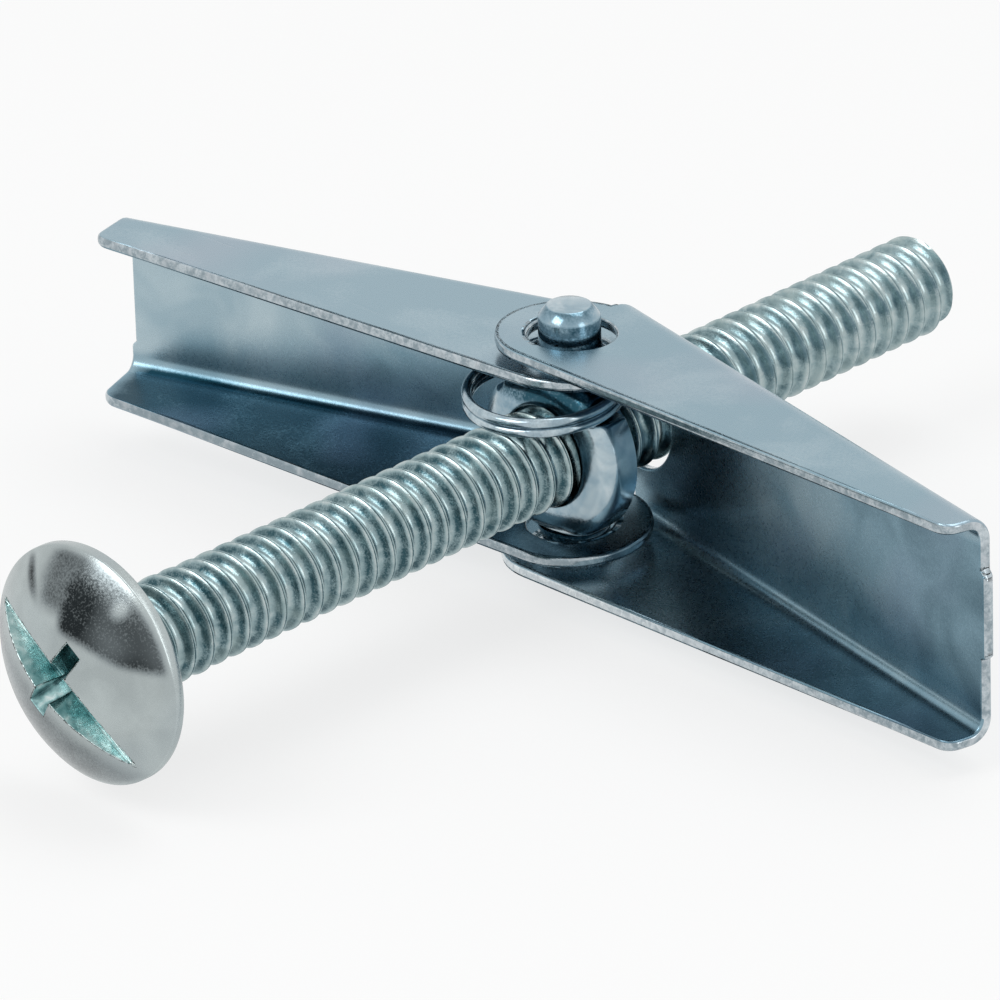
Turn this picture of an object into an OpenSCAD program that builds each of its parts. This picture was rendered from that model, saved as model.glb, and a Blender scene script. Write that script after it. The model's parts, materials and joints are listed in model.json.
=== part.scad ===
// Spring toggle bolt: a round-headed machine screw, a trunnion nut on its thread, two folded
// sheet wings that swing on the nut's pins, and a torsion spring that holds the wings open.
// Origin: centre of the head's bearing face. +Y runs from the head to the tip, +Z is up along
// the hinge pins, and +X points to the outer wing.

/* [Bolt] */
// Length from the bearing face of the head to the tip
bolt_len = 50; // [44:0.1:76]
// Radius over the thread crests
thread_r = 2.28; // [2.0:0.01:2.6]
// How much fuller the thread is just under the head
neck_extra = 0.05; // [0.01:0.01:0.2]
// Length of that fuller stretch
neck_len = 5; // [2:0.5:10]
// Depth of the 45 degree chamfer at the tip
tip_chamfer = 0.28; // [0.1:0.02:0.6]
// Radius of the head
head_r = 5.25; // [4.6:0.1:7]
// Height of the upright rim of the head
rim_h = 0.55; // [0.3:0.05:1]
// Height of the dome above the rim
dome_h = 2.1; // [1.4:0.05:3]
// Turn of the driver recess about the bolt's axis, in degrees
recess_turn = 35.5; // [0:0.5:90]
// Length of the screwdriver slot
slot_len = 9.2; // [6:0.1:10]
// Width of the slot and of the cross recess
slot_w = 1.15; // [0.8:0.05:1.6]
// Depth of the slot below the top of the dome
slot_depth = 1.5; // [0.8:0.05:1.9]
// Length of the cross recess's short arm
cross_len = 4.2; // [3:0.1:5]
// Depth of the cross recess below the top of the dome
cross_depth = 1.9; // [1.2:0.05:2.2]

/* [Nut] */
// Distance from the bearing face of the head to the hinge axis
hinge_y = 28; // [24:0.5:34]
// Gap between the bolt's crests and the wall of the nut's hole
thread_gap = 0.05; // [0.02:0.01:0.1]
// Wall of the nut's round body about its hole
nut_wall = 1.6; // [1.3:0.05:2]
// Distance from the hinge axis forward to the nut's front face
nut_front = 1.95; // [1.8:0.05:2.2]
// Depth of the slope round the front face
nut_slope = 0.5; // [0.2:0.05:0.8]
// Width of the flat ring on the front face
face_ring = 0.77; // [0.4:0.01:1.1]
// Wall of the boss behind the round body
boss_wall = 0.57; // [0.3:0.01:0.9]
// Height of that boss
boss_h = 0.8; // [0.4:0.05:1.2]
// Wall of the flat shoulders that carry the pins
shoulder_wall = 1.12; // [0.9:0.01:1.3]
// Gap between a shoulder's side and the spring's wire beside it
shoulder_gap = 0.875; // [0.8:0.025:1.4]
// Radius of a hinge pin
pin_r = 1.35; // [1.1:0.01:1.65]
// How far a pin stands out of the outer wing
pin_out = 1.21; // [0.6:0.01:2]
// Width of the slope round a pin's end
pin_bevel = 0.4; // [0.1:0.05:0.8]
// Height of the slope round a pin's end
pin_slope = 0.5; // [0.3:0.05:0.8]

/* [Wings] */
// Thickness of the sheet
sheet = 0.5; // [0.4:0.01:0.65]
// Outer radius of the folds
fold_r = 1.1; // [0.8:0.05:1.4]
// Gap round a pin in its hole, before the hole's shift
hole_gap = 0.55; // [0.35:0.01:0.8]
// Distance of the hinge holes outward from the pins, towards the wing's end
hole_shift = 0.2; // [0:0.05:0.3]
// Rounding of the flanges' outer corners
corner_r = 0.7; // [0.3:0.05:1.2]

/* [Inner wing] */
// Slope of the wing towards the head, in degrees
inner_slope = 16.9; // [12:0.1:20]
// Length from the hinge axis to the wing's end
inner_len = 24.9; // [20:0.1:32]
// Gap between the web and the corner of the outer wing's web that swings inside it
inner_web_gap = 1; // [0.4:0.05:1.6]
// Gap between the flanges and what they straddle
inner_gap = 0.06; // [0.06:0.01:0.3]
// Outward lean of each flange, in degrees
inner_flare = 3.2; // [2.8:0.1:3.5]
// Width of the flanges at the wing's end
inner_end_w = 3.3; // [2.5:0.1:4.5]
// Wall of the flanges' round ends about the hinge hole
inner_eye_wall = 1.5; // [1:0.05:1.6]
// Gap between the bolt and the end of the web beside it
inner_bolt_gap = 0.55; // [0.3:0.05:3]

/* [Outer wing] */
// Slope of the wing towards the head, in degrees
outer_slope = 13.1; // [10:0.1:18]
// Length from the hinge axis to the wing's end
outer_len = 25.2; // [20:0.1:32]
// Gap between the web and the inner wing's eyes, which turn inside it
outer_web_gap = 0.37; // [0.3:0.01:0.8]
// Gap between the flanges and the widest part of the inner wing's eyes
nest_gap = 0.33; // [0.25:0.01:0.8]
// Outward lean of each flange, in degrees
outer_flare = 1.2; // [0:0.1:3]
// Width of the flanges at the wing's end
outer_end_w = 2.15; // [1.8:0.05:3.5]
// Wall of the flanges' round ends about the hinge hole
outer_eye_wall = 1.3; // [1:0.05:1.5]
// Start of the web, measured from the hinge axis along the wing
outer_web_start = -1.25; // [-1.5:0.05:0]
// Gap between the bolt and the web's notch round it
notch_gap = 0.37; // [0.3:0.01:0.7]

/* [Spring] */
// Diameter of the wire
wire_d = 0.45; // [0.35:0.01:0.5]
// Radius of the coil, to the middle of the wire
coil_r = 3.3; // [3.25:0.01:3.4]
// Rise of the coil from front to back, in degrees
coil_tilt = 4; // [3:0.5:4]
// Gap between the wire and what it lies against
spring_gap = 0.04; // [0.02:0.01:0.06]
// Where each leg meets its wing, measured from the hinge axis along the wing
leg_reach = 6.5; // [5:0.5:8]

/* [Hidden] */
$fn = 96;

ARC_STEPS = 8;          // straight steps in a drawn quarter round
TAB = 0.2;              // how far the outer wing's end tab stands out
TAB_Z = [-1.3, 2.6];    // the tab, from and to, across the web
RECESS_Z = [-2.3, 3.4]; // the inner wing's matching end recess
NOTCH_SHIFT = [0.08, 0.2]; // the notch's centre, along and across the web, from the bolt's axis
TURN_OVERLAP = 0.02;    // how far the spring's two turns run into each other
LEG_THIN = 0.01;        // how much thinner a leg is drawn, to sink cleanly into the coil
ROOT_IN = 0.13;         // how far inside the nut's hole its shoulders and pins begin
COIL_IN_HOLE = 0.1;     // how far the coil's high back may stand up into the hinge hole
NUT_IN_NOTCH = 0.16;    // how far the nut's rim may stand into the notch of a folded wing
COIL_ROOM = 0.24;       // least gap between the coil and the web of a folded wing

neck_r = thread_r + neck_extra;
bore_r = thread_r + thread_gap;
nut_r = bore_r + nut_wall;
nut_face_r = bore_r + face_ring;
boss_r = bore_r + boss_wall;
root_z = bore_r - ROOT_IN;
shoulder_z = bore_r + shoulder_wall;
sphere_r = (head_r * head_r + dome_h * dome_h) / (2 * dome_h);
head_top = rim_h + dome_h;
wire_r = wire_d / 2;
leg_r = wire_r - LEG_THIN;
turn_pitch = wire_d - TURN_OVERLAP;
// The coil's back lies against the pin, its upper turn leaning the nearer.
coil_y = pin_r + spring_gap + wire_r + turn_pitch * sin(coil_tilt) - coil_r * cos(coil_tilt);
coil_z = thread_r + wire_r + spring_gap + coil_r * sin(coil_tilt); // its front clears the bolt
coil_top = coil_z + turn_pitch * cos(coil_tilt) + coil_r * sin(coil_tilt) + wire_r;
shoulder_half_w = coil_r - wire_r - shoulder_gap;

hole_r = pin_r + hole_gap;
inner_eye_r = hole_r + inner_eye_wall;
outer_eye_r = hole_r + outer_eye_wall;
in_r = fold_r - sheet;
// Distances from the hinge axis to the webs' outer faces. The inner wing's web swings outside
// the outer wing's.
outer_web_y = sheet + max(inner_eye_r + outer_web_gap, coil_r + wire_r + COIL_ROOM,
    nut_r - NUT_IN_NOTCH);
inner_web_y = norm([outer_web_start, outer_web_y]) + inner_web_gap + sheet;
inner_web_start =
    (thread_r + inner_bolt_gap - (inner_web_y - sheet) * sin(inner_slope)) / cos(inner_slope);
notch_r = thread_r + notch_gap;
notch_pos = [NOTCH_SHIFT[0] - (outer_web_y - sheet) * tan(outer_slope), NOTCH_SHIFT[1]];

// Height over a wing's folds whose flanges have their inner faces at height z at the hinge.
function wing_height(z, web_y, flare) =
    2 * (z + fold_r - in_r / cos(flare) - tan(flare) * (web_y - fold_r));

// The flanges lie one over the other on the pins: nut and spring, inner wing, outer wing.
inner_z = max(shoulder_z, coil_top - COIL_IN_HOLE) + inner_gap
    + tan(inner_flare) * (pin_r + wire_d);
outer_z = inner_z + sheet / cos(inner_flare) + tan(inner_flare) * inner_eye_r + nest_gap;
inner_height = wing_height(inner_z, inner_web_y, inner_flare);
outer_height = wing_height(outer_z, outer_web_y, outer_flare);
pin_top_z = outer_z + sheet / cos(outer_flare) + pin_out;
pin_tip_r = pin_r - pin_bevel;

// Points of an arc about c, from angle a to angle b.
function arc(c, r, a, b, steps = ARC_STEPS) =
    [for (i = [0:steps]) c + r * [cos(a + (b - a) * i / steps), sin(a + (b - a) * i / steps)]];

// Turns a plane vector by an angle.
function turned(v, a) = [v[0] * cos(a) - v[1] * sin(a), v[0] * sin(a) + v[1] * cos(a)];

// Section of a wing across its length: x is the distance behind the hinge axis, y is height.
module channel_section(web_y, height, flare) {
    s = 90 - flare;
    depth = 2 * web_y + fold_r;
    top = [web_y - fold_r, height / 2 - fold_r];
    low = [top[0], -top[1]];
    out_top = [cos(s), sin(s)];
    out_low = [cos(s), -sin(s)];
    run_top = depth * [-sin(s), cos(s)];
    run_low = depth * [-sin(s), -cos(s)];
    polygon(concat(
        [top + fold_r * out_top + run_top],
        arc(top, fold_r, s, 0),
        arc(low, fold_r, 0, -s),
        [low + fold_r * out_low + run_low, low + in_r * out_low + run_low],
        arc(low, in_r, -s, 0),
        arc(top, in_r, 0, s),
        [top + in_r * out_top + run_top]
    ));
}

// Outline of a wing seen along the pins: the eye, the straight free edge that leaves it, the
// square end, and the back edge along the fold.
module wing_plan(len, web_y, end_w, eye_r, web_start) {
    end = [len, web_y - end_w];
    edge_a = atan2(end[1], end[0]) + asin(eye_r / norm(end));
    back = corner_r * tan((90 - edge_a) / 2);
    centre = end - back * [cos(edge_a), sin(edge_a)] + corner_r * [-sin(edge_a), cos(edge_a)];
    start_r = fold_r / 2;
    circle(eye_r);
    polygon(concat(
        [[0, 0], eye_r * [sin(edge_a), -cos(edge_a)]],
        arc(centre, corner_r, edge_a - 90, 0),
        [[len, web_y]],
        arc([web_start + start_r, web_y - start_r], start_r, 90, 180),
        [[web_start, 0]]
    ));
}

// A folded wing, lying along +X from the hinge axis, with its web on the +Y side.
module wing(len, web_y, height, flare, end_w, eye_r, web_start) {
    tall = height + 2 * web_y;
    difference() {
        intersection() {
            linear_extrude(height = tall, center = true)
                wing_plan(len, web_y, end_w, eye_r, web_start);
            translate([-2 * eye_r, 0, 0])
                rotate([90, 0, 90])
                    linear_extrude(height = len + 3 * eye_r)
                        channel_section(web_y, height, flare);
        }
        translate([hole_shift, 0, -tall / 2])
            cylinder(r = hole_r, h = tall);
    }
}

// The slot and the cross recess, cut down from the top of the dome.
module driver_recess() {
    above = 1;
    rotate([0, recess_turn, 0]) {
        translate([-slot_len / 2, -head_top - above, -slot_w / 2])
            cube([slot_len, slot_depth + above, slot_w]);
        translate([-cross_len / 2, -head_top - above, -slot_w / 2])
            cube([cross_len, cross_depth + above, slot_w]);
        translate([-slot_w / 2, -head_top - above, -cross_len / 2])
            cube([slot_w, cross_depth + above, cross_len]);
    }
}

module bolt() {
    color("#a9b1b0") difference() {
        union() {
            rotate([90, 0, 0])
                cylinder(r = head_r, h = rim_h);
            intersection() {
                translate([0, sphere_r - head_top, 0])
                    sphere(r = sphere_r);
                rotate([90, 0, 0])
                    cylinder(r = head_r, h = 2 * head_top);
            }
            rotate([-90, 0, 0])
                cylinder(r = neck_r, h = neck_len);
            rotate([-90, 0, 0])
                cylinder(r = thread_r, h = bolt_len - tip_chamfer);
            translate([0, bolt_len - tip_chamfer, 0])
                rotate([-90, 0, 0])
                    cylinder(r1 = thread_r, r2 = thread_r - tip_chamfer, h = tip_chamfer);
        }
        driver_recess();
    }
}

// One hinge pin, standing on the nut's bore wall along +Z.
module hinge_pin() {
    translate([0, 0, root_z])
        cylinder(r = pin_r, h = pin_top_z - pin_slope - root_z);
    translate([0, 0, pin_top_z - pin_slope])
        cylinder(r1 = pin_r, r2 = pin_tip_r, h = pin_slope);
}

module nut() {
    color("#9fb4c2") translate([0, hinge_y, 0]) difference() {
        union() {
            intersection() {
                rotate([-90, 0, 0]) translate([0, 0, -nut_front]) union() {
                    cylinder(r1 = nut_face_r, r2 = nut_r, h = nut_slope);
                    translate([0, 0, nut_slope])
                        cylinder(r = nut_r, h = nut_front - nut_slope);
                }
                union() {
                    cube([2 * nut_r, 3 * nut_front, 2 * root_z], center = true);
                    cube([2 * shoulder_half_w, 3 * nut_front, 2 * shoulder_z], center = true);
                }
            }
            intersection() {
                rotate([-90, 0, 0])
                    cylinder(r = boss_r, h = boss_h);
                cube([2 * boss_r, 4 * boss_h, 2 * root_z], center = true);
            }
            hinge_pin();
            mirror([0, 0, 1])
                hinge_pin();
        }
        rotate([90, 0, 0])
            cylinder(r = bore_r, h = 6 * nut_front, center = true);
    }
}

// The spring's two close turns, as rings that run into each other.
module turns() {
    rotate_extrude() {
        translate([coil_r, 0])
            circle(r = wire_r);
        translate([coil_r, turn_pitch])
            circle(r = wire_r);
    }
}

// A straight length of wire from a point inside the coil's wire to a cut end.
module wire(a, b) {
    d = b - a;
    translate(a)
        rotate([0, acos(d[2] / norm(d)), atan2(d[1], d[0])])
            cylinder(r = leg_r, h = norm(d));
}

// A leg from the back of the coil to a point just inside a wing's web. Side is -1 or 1 along X.
module leg(side, slope, web_y, height, turn_z) {
    inside = web_y - sheet - wire_r - spring_gap;
    foot = turned([leg_reach, inside], -slope);
    foot_z = height / 2 - fold_r - wire_d;
    root_a = 35;
    root = coil_r * [cos(root_a), sin(root_a)] + [0, coil_y];
    from_z = turn_z + (root[1] - coil_y) * tan(coil_tilt);
    wire([side * root[0], root[1], from_z], [side * foot[0], foot[1], min(foot_z, from_z)]);
}

module spring() {
    color("#b9c4ca") translate([0, hinge_y, 0]) {
        translate([0, coil_y, coil_z])
            rotate([coil_tilt, 0, 0])
                turns();
        leg(-1, inner_slope, inner_web_y, inner_height, coil_z + turn_pitch);
        leg(1, outer_slope, outer_web_y, outer_height, coil_z);
    }
}

module wing_inner() {
    color("#a3b4bc") translate([0, hinge_y, 0]) mirror([1, 0, 0]) rotate([0, 0, -inner_slope])
        difference() {
            wing(inner_len, inner_web_y, inner_height, inner_flare, inner_end_w, inner_eye_r,
                inner_web_start);
            translate([inner_len - TAB, inner_web_y - 2 * sheet, RECESS_Z[0]])
                cube([2 * TAB, 3 * sheet, min(RECESS_Z[1], inner_height / 2 - sheet) - RECESS_Z[0]]);
        }
}

module wing_outer() {
    color("#97a9b3") translate([0, hinge_y, 0]) rotate([0, 0, -outer_slope]) {
        difference() {
            wing(outer_len, outer_web_y, outer_height, outer_flare, outer_end_w, outer_eye_r,
                outer_web_start);
            translate([notch_pos[0], 0, notch_pos[1]])
                rotate([-90, 0, 0])
                    cylinder(r = notch_r, h = 2 * outer_web_y);
        }
        translate([outer_len - TAB, outer_web_y - sheet, TAB_Z[0]])
            cube([2 * TAB, sheet, TAB_Z[1] - TAB_Z[0]]);
    }
}

bolt();
nut();
spring();
wing_inner();
wing_outer();
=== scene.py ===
"""Looks of a spring toggle bolt: threaded bolt, trunnion nut, two folded wings and a spring.

Every length is in millimetres until Piece.build turns it into metres. The frame is the CAD's:
origin at the centre of the head's bearing face, +Y towards the tip, +Z along the hinge pins and
+X towards the outer wing.
"""

import json
import logging
import math
from dataclasses import dataclass, field
from enum import Enum
from typing import Any

import bmesh
import bpy
import numpy as np
from mathutils import Matrix, Vector


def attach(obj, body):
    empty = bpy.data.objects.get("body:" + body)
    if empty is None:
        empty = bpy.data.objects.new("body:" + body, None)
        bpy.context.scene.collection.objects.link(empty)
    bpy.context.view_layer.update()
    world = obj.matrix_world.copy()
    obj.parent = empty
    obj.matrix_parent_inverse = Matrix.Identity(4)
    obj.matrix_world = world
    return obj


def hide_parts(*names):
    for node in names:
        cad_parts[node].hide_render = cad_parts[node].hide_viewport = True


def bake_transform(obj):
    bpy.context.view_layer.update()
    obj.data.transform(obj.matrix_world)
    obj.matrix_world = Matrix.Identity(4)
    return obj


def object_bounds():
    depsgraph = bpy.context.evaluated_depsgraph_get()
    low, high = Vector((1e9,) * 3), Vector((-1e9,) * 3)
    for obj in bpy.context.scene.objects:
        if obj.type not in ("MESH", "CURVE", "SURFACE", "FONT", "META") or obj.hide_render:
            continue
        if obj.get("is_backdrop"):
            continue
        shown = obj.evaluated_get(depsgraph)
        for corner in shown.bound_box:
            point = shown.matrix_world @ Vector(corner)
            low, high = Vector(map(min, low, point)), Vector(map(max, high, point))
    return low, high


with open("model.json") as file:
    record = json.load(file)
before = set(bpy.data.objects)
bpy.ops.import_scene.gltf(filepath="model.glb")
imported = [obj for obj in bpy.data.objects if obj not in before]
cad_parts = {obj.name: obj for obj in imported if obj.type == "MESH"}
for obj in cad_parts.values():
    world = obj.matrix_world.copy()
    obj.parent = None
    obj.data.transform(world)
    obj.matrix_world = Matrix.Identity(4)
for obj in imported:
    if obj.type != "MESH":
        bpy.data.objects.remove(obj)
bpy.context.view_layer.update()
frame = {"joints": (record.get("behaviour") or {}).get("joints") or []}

MM = 0.001
LOG = logging.getLogger("toggle_bolt")

Colour = tuple[float, float, float, float]
Plane = tuple[float, float]
Place = tuple[float, float, float]
Curve = tuple[Plane, ...]

WHITE = "#ffffff"

# Spans of a noise's value: all of its grain, its clouds, its tinted areas and its scratches.
NOISE_SPAN = (0.3, 0.7)
CLOUD_SPAN = (0.35, 0.65)
TINT_SPAN = (0.5, 0.75)
SCRATCH_SPAN = (0.68, 0.74)
SCRATCH_MM = 0.006


class Side(Enum):
    """Which way a wing points from the hinge axis."""

    INNER = -1
    OUTER = 1


class HeadSkin(Enum):
    """The faces of the bolt's head, in the order of its material slots."""

    FORMED = 0
    PUNCHED = 1


class Skin(Enum):
    """The faces of a folded sheet, in the order of its material slots."""

    OUTSIDE = 0
    CHANNEL = 1
    SHEARED = 2


# ---------------------------------------------------------------- shared geometry


def unit(angle: np.ndarray) -> np.ndarray:
    """Unit vectors (cos a, sin a) for angles in degrees."""
    turn = np.radians(angle)
    return np.stack([np.cos(turn), np.sin(turn)], -1)


def arc(centre: Plane, radius: float, start: float, end: float, steps: int) -> np.ndarray:
    """Points of a circular arc: centre + radius * (cos a, sin a) for a from start to end.

    Args:
        centre: the arc's centre.
        radius: its radius.
        start: first angle, in degrees.
        end: last angle, in degrees.
        steps: how many straight steps it has.

    Returns:
        An array of (steps + 1, 2).
    """
    return np.array(centre) + radius * unit(np.linspace(start, end, steps + 1))


def line(start: Plane, end: Plane, steps: int) -> np.ndarray:
    """Evenly spaced points of a straight line, (steps + 1, 2)."""
    share = np.linspace(0, 1, steps + 1)[:, None]
    return (1 - share) * np.array(start) + share * np.array(end)


def smooth_step(value: np.ndarray, low: float, high: float) -> np.ndarray:
    """Rises smoothly from 0 at low to 1 at high: t * t * (3 - 2 t), with t the clipped share."""
    share = np.clip((value - low) / (high - low), 0, 1)
    return share * share * (3 - 2 * share)


def revolved(profile: np.ndarray, steps: int) -> np.ndarray:
    """Turns a profile of (radius, y) about the Y axis.

    A point at angle a is (radius * sin a, y, radius * cos a).

    Args:
        profile: (rows, 2) radius and y.
        steps: points round the axis.

    Returns:
        A grid of (rows, steps, 3), which closes on itself along its columns.
    """
    angle = np.linspace(0, 2 * math.pi, steps, endpoint=False)
    radius, height = profile[:, :1], profile[:, 1:]
    return np.stack(
        [radius * np.sin(angle), height + 0 * angle, radius * np.cos(angle)], axis=-1
    )


def tube(path: np.ndarray, radius: float, sides: int) -> np.ndarray:
    """Carries a circle along a path that never runs along Z.

    At each point of the path the circle lies in the plane of two unit vectors: Z made square to
    the path, and the path's direction crossed with it.

    Args:
        path: (rows, 3) points.
        radius: the circle's radius.
        sides: points round the circle.

    Returns:
        A grid of (rows, sides, 3), which closes on itself along its columns.
    """
    along = np.gradient(path, axis=0)
    along /= np.linalg.norm(along, axis=1, keepdims=True)
    up = np.array([0.0, 0.0, 1.0]) - along[:, 2:] * along
    up /= np.linalg.norm(up, axis=1, keepdims=True)
    across = np.cross(along, up)
    angle = np.linspace(0, 2 * math.pi, sides, endpoint=False)[None, :, None]
    return path[:, None] + radius * (np.cos(angle) * up[:, None] + np.sin(angle) * across[:, None])


def capped(grid: np.ndarray) -> np.ndarray:
    """Closes both ends of a row of rings, each with a row at the mean of its last ring."""
    ends = [np.repeat(grid[i].mean(0)[None, None], grid.shape[1], 1) for i in (0, -1)]
    return np.concatenate([ends[0], grid, ends[1]])


def along_curve(value: np.ndarray, curve: Curve) -> np.ndarray:
    """Height at each value of a curve of straight lines between (value, height) points."""
    return np.interp(value, *zip(*curve))


def shade_smooth(mesh: bpy.types.Mesh, crease: float) -> None:
    """Smooths a mesh's shading, but not over edges above the crease angle, in degrees."""
    mesh.polygons.foreach_set("use_smooth", np.ones(len(mesh.polygons), bool))
    mesh.set_sharp_from_angle(angle=math.radians(crease))


@dataclass
class Patch:
    """A grid of points whose neighbours are joined by quads.

    Attributes:
        points: (rows, columns, 3), in millimetres.
        wrap: whether the last column joins the first.
        slot: material slot of its faces.
        film: how dark the plating's film is at each point, 0 to 1, or None for 0 all over. It
        holds painted shade and painted reflection.
    """

    points: np.ndarray
    wrap: bool = False
    slot: int = 0
    film: np.ndarray | None = None

    def depth(self) -> np.ndarray:
        """Darkness of the film at each point.

        Returns:
            One value for each point, in one row.
        """
        if self.film is None:
            return np.zeros(self.points.shape[0] * self.points.shape[1])
        return np.broadcast_to(self.film, self.points.shape[:2]).ravel()

    def quads(self, first: int) -> np.ndarray:
        """Corner numbers of each quad.

        Args:
            first: number of the patch's first point.

        Returns:
            (quads, 4) numbers.
        """
        rows, columns = self.points.shape[:2]
        index = first + np.arange(rows * columns).reshape(rows, columns)
        if self.wrap:
            index = np.hstack([index, index[:, :1]])
        corners = [index[:-1, :-1], index[1:, :-1], index[1:, 1:], index[:-1, 1:]]
        return np.stack(corners, -1).reshape(-1, 4)


@dataclass
class Piece:
    """A mesh that is welded from patches.

    Attributes:
        name: the object's name.
        patches: its grids.
        weld: distance within which points become one, in millimetres.
        crease: angle between faces above which an edge stays sharp, in degrees.
        outward: a direction that most of an open sheet's faces point along, or None when the
            patches close and the faces point out of the volume.
    """

    name: str
    patches: list[Patch]
    weld: float = 0.002
    crease: float = 38.0
    outward: Place | None = None

    def build(self) -> bpy.types.Object:
        """Makes the object, with shared points welded and every face pointing outwards.

        Returns:
            The new object, at the origin and in metres.
        """
        counts = np.cumsum([0] + [p.points.shape[0] * p.points.shape[1] for p in self.patches])
        points = np.concatenate([p.points.reshape(-1, 3) for p in self.patches]) * MM
        quads = [p.quads(int(n)) for p, n in zip(self.patches, counts)]
        slots = np.concatenate([np.full(len(q), p.slot) for p, q in zip(self.patches, quads)])
        mesh = bpy.data.meshes.new(self.name)
        mesh.from_pydata(points.tolist(), [], np.concatenate(quads).tolist())
        mesh.polygons.foreach_set("material_index", slots.astype(np.int32))
        film = np.concatenate([p.depth() for p in self.patches]).astype(np.float32)
        mesh.attributes.new("film", "FLOAT", "POINT").data.foreach_set("value", film)
        self._weld(mesh)
        shade_smooth(mesh, self.crease)
        piece = bpy.data.objects.new(self.name, mesh)
        bpy.context.scene.collection.objects.link(piece)
        return piece

    def _weld(self, mesh: bpy.types.Mesh) -> None:
        """Merges doubles, drops faces without area and points the rest outwards.

        Args:
            mesh: the mesh, which is changed.
        """
        work = bmesh.new()
        work.from_mesh(mesh)
        bmesh.ops.remove_doubles(work, verts=work.verts, dist=self.weld * MM)
        bmesh.ops.dissolve_degenerate(work, edges=work.edges, dist=1e-7)
        bmesh.ops.recalc_face_normals(work, faces=work.faces)
        if self.outward is not None:
            aim = Vector(self.outward)
            if sum(f.normal.dot(aim) * f.calc_area() for f in work.faces) < 0:
                bmesh.ops.reverse_faces(work, faces=work.faces)
        work.to_mesh(mesh)
        work.free()


def bevel(piece: bpy.types.Object, width: float, segments: int, angle: float) -> None:
    """Rounds a piece's sharp edges.

    Args:
        piece: the object.
        width: width of the rounding, in millimetres.
        segments: faces across it.
        angle: angle above which an edge is rounded, in degrees.
    """
    rounding = piece.modifiers.new("rounded_edges", "BEVEL")
    rounding.width = width * MM
    rounding.segments = segments
    rounding.limit_method = "ANGLE"
    rounding.angle_limit = math.radians(angle)
    rounding.use_clamp_overlap = False
    rounding.harden_normals = True


# ---------------------------------------------------------------- shared shading


def colour(code: str) -> Colour:
    """Turns an sRGB hex code into linear red, green, blue and alpha.

    Args:
        code: six hex digits after a hash sign.

    Returns:
        The linear colour, with an alpha of 1.
    """
    parts = [int(code[i : i + 2], 16) / 255 for i in (1, 3, 5)]
    r, g, b = [p / 12.92 if p <= 0.04045 else ((p + 0.055) / 1.055) ** 2.4 for p in parts]
    return r, g, b, 1.0


def fresh_tree(owner: bpy.types.Material | bpy.types.World) -> bpy.types.NodeTree:
    """Turns on the nodes of a material or a world, and empties them.

    Args:
        owner: the material or the world.

    Returns:
        Its empty node tree.
    """
    owner.use_nodes = True
    owner.node_tree.nodes.clear()
    return owner.node_tree


def add_node(
    tree: bpy.types.NodeTree,
    kind: str,
    inputs: dict[str | int, Any] | tuple[Any, ...] = (),
    out: str | int = 0,
    **settings: Any,
) -> bpy.types.NodeSocket | None:
    """Adds a node with its settings and links.

    Args:
        tree: the node tree it goes into.
        kind: the node's type.
        inputs: what its inputs get, by name or number or else in order: a value, or the socket
            that feeds it.
        out: name or number of the output that is wanted.
        **settings: the node's own properties.

    Returns:
        That output, or None where the node has no outputs.
    """
    node = tree.nodes.new(kind)
    for key, value in settings.items():
        setattr(node, key, value)
    for key, value in inputs.items() if isinstance(inputs, dict) else enumerate(inputs):
        if isinstance(value, bpy.types.NodeSocket):
            tree.links.new(value, node.inputs[key])
        else:
            node.inputs[key].default_value = value
    return node.outputs[out] if node.outputs else None


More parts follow.
